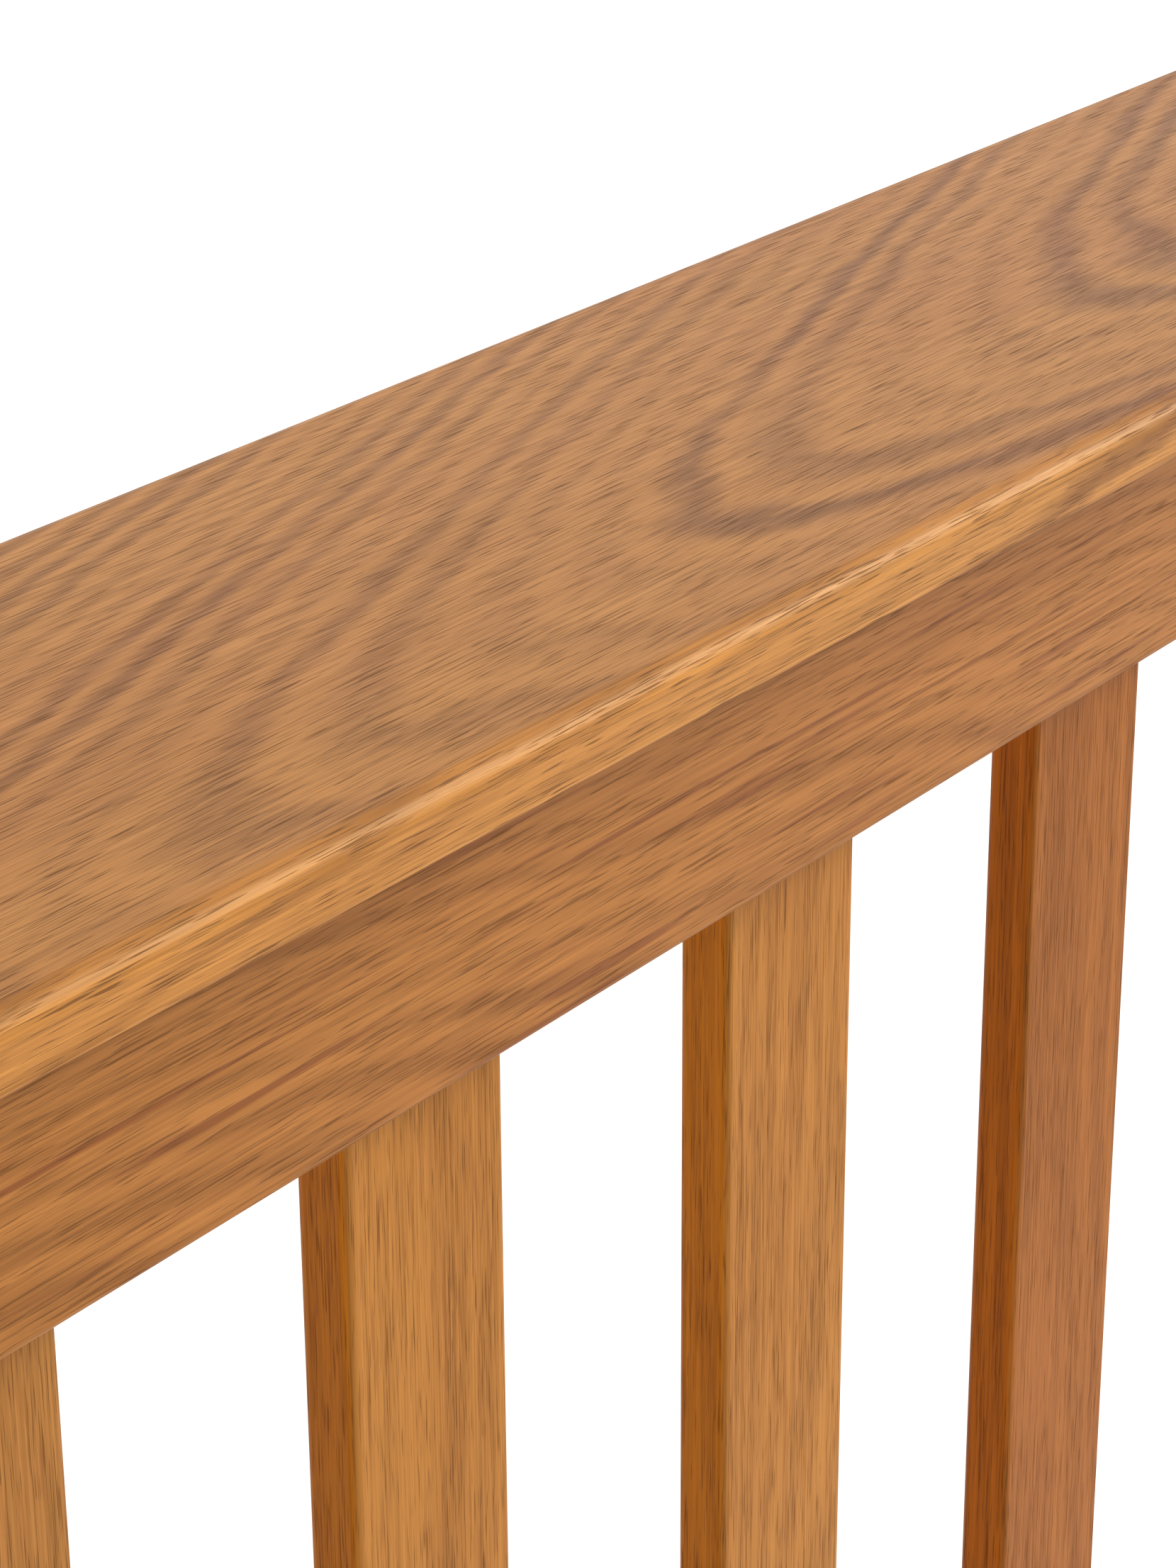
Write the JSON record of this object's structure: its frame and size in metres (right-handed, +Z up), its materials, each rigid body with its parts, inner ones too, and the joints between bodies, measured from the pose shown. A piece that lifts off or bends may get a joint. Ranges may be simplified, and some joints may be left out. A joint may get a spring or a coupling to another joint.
{
  "type": "safety baby gate",
  "caption": "Slatted oak safety gate: a swing leaf with a broad flat cap board, hung on pin hinges in a wall-fixed oak frame and held by a slide bolt with a release button.",
  "frame": {"origin": "middle of the fixed frame's underside, at the floor", "axes": "+X along the gate from the hinge side to the latch side, +Y to the back, +Z up"},
  "size_m": [0.885, 0.1525, 0.76],
  "materials": {
    "oak_cap": "oiled satin oak, flat sawn",
    "oak_rail": "oiled satin oak",
    "oak_slat": "oiled satin oak",
    "oak_stile": "oiled satin oak",
    "oak_post": "oiled satin oak",
    "beech_dowel": "raw beech",
    "steel": "brushed",
    "screw_steel": "bright zinc",
    "knob": "turned",
    "button": "fine texture",
    "rubber": "matt"
  },
  "bodies": {
    "wall_frame": {"bumper_pads": "rubber", "hinge_post": "oak_post", "hinge_post_screws": "screw_steel", "keeper_screws": "screw_steel", "latch_keeper": "steel", "latch_post": "oak_post", "lower_hinge_pin": "steel", "lower_hinge_post_plate": "steel", "sill_dowels": "beech_dowel", "sill_gasket": "rubber", "stop_screws": "screw_steel", "stop_strip": "oak_post", "threshold_sill": "oak_post", "upper_hinge_pin": "steel", "upper_hinge_post_plate": "steel"},
    "gate_leaf": {"cap_board": "oak_cap", "cap_dowels": "beech_dowel", "front_bottom_rail": "oak_rail", "front_top_rail": "oak_rail", "hinge_gate_screws": "screw_steel", "hinge_stile": "oak_stile", "latch_housing": "steel", "latch_screws": "screw_steel", "latch_stile": "oak_stile", "lower_hinge_gate_plate": "steel", "rail_dowels": "beech_dowel", "rear_bottom_rail": "oak_rail", "rear_top_rail": "oak_rail", "slat_1": "oak_slat", "slat_2": "oak_slat", "slat_3": "oak_slat", "slat_4": "oak_slat", "slat_5": "oak_slat", "slat_6": "oak_slat", "slat_7": "oak_slat", "upper_hinge_gate_plate": "steel"},
    "slide_bolt": {"latch_bolt": "steel", "bolt_knob": "knob", "button_spring": "screw_steel"},
    "knob_button": {"release_button": "button"}
  },
  "joints": [
    {"name": "gate_swing", "type": "hinge", "parent": "wall_frame", "child": "gate_leaf", "pos_m": [-0.412, -0.0555, 0.38], "axis": [0, 0, 1], "range_deg": [-90, 0]},
    {"name": "bolt_slide", "type": "slide", "parent": "gate_leaf", "child": "slide_bolt", "axis": [1, 0, 0], "range_m": [0, 0.02]},
    {"name": "button_press", "type": "slide", "parent": "slide_bolt", "child": "knob_button", "axis": [0, 1, 0], "range_m": [0, 0.003], "stiffness_N_per_m": 300}
  ]
}
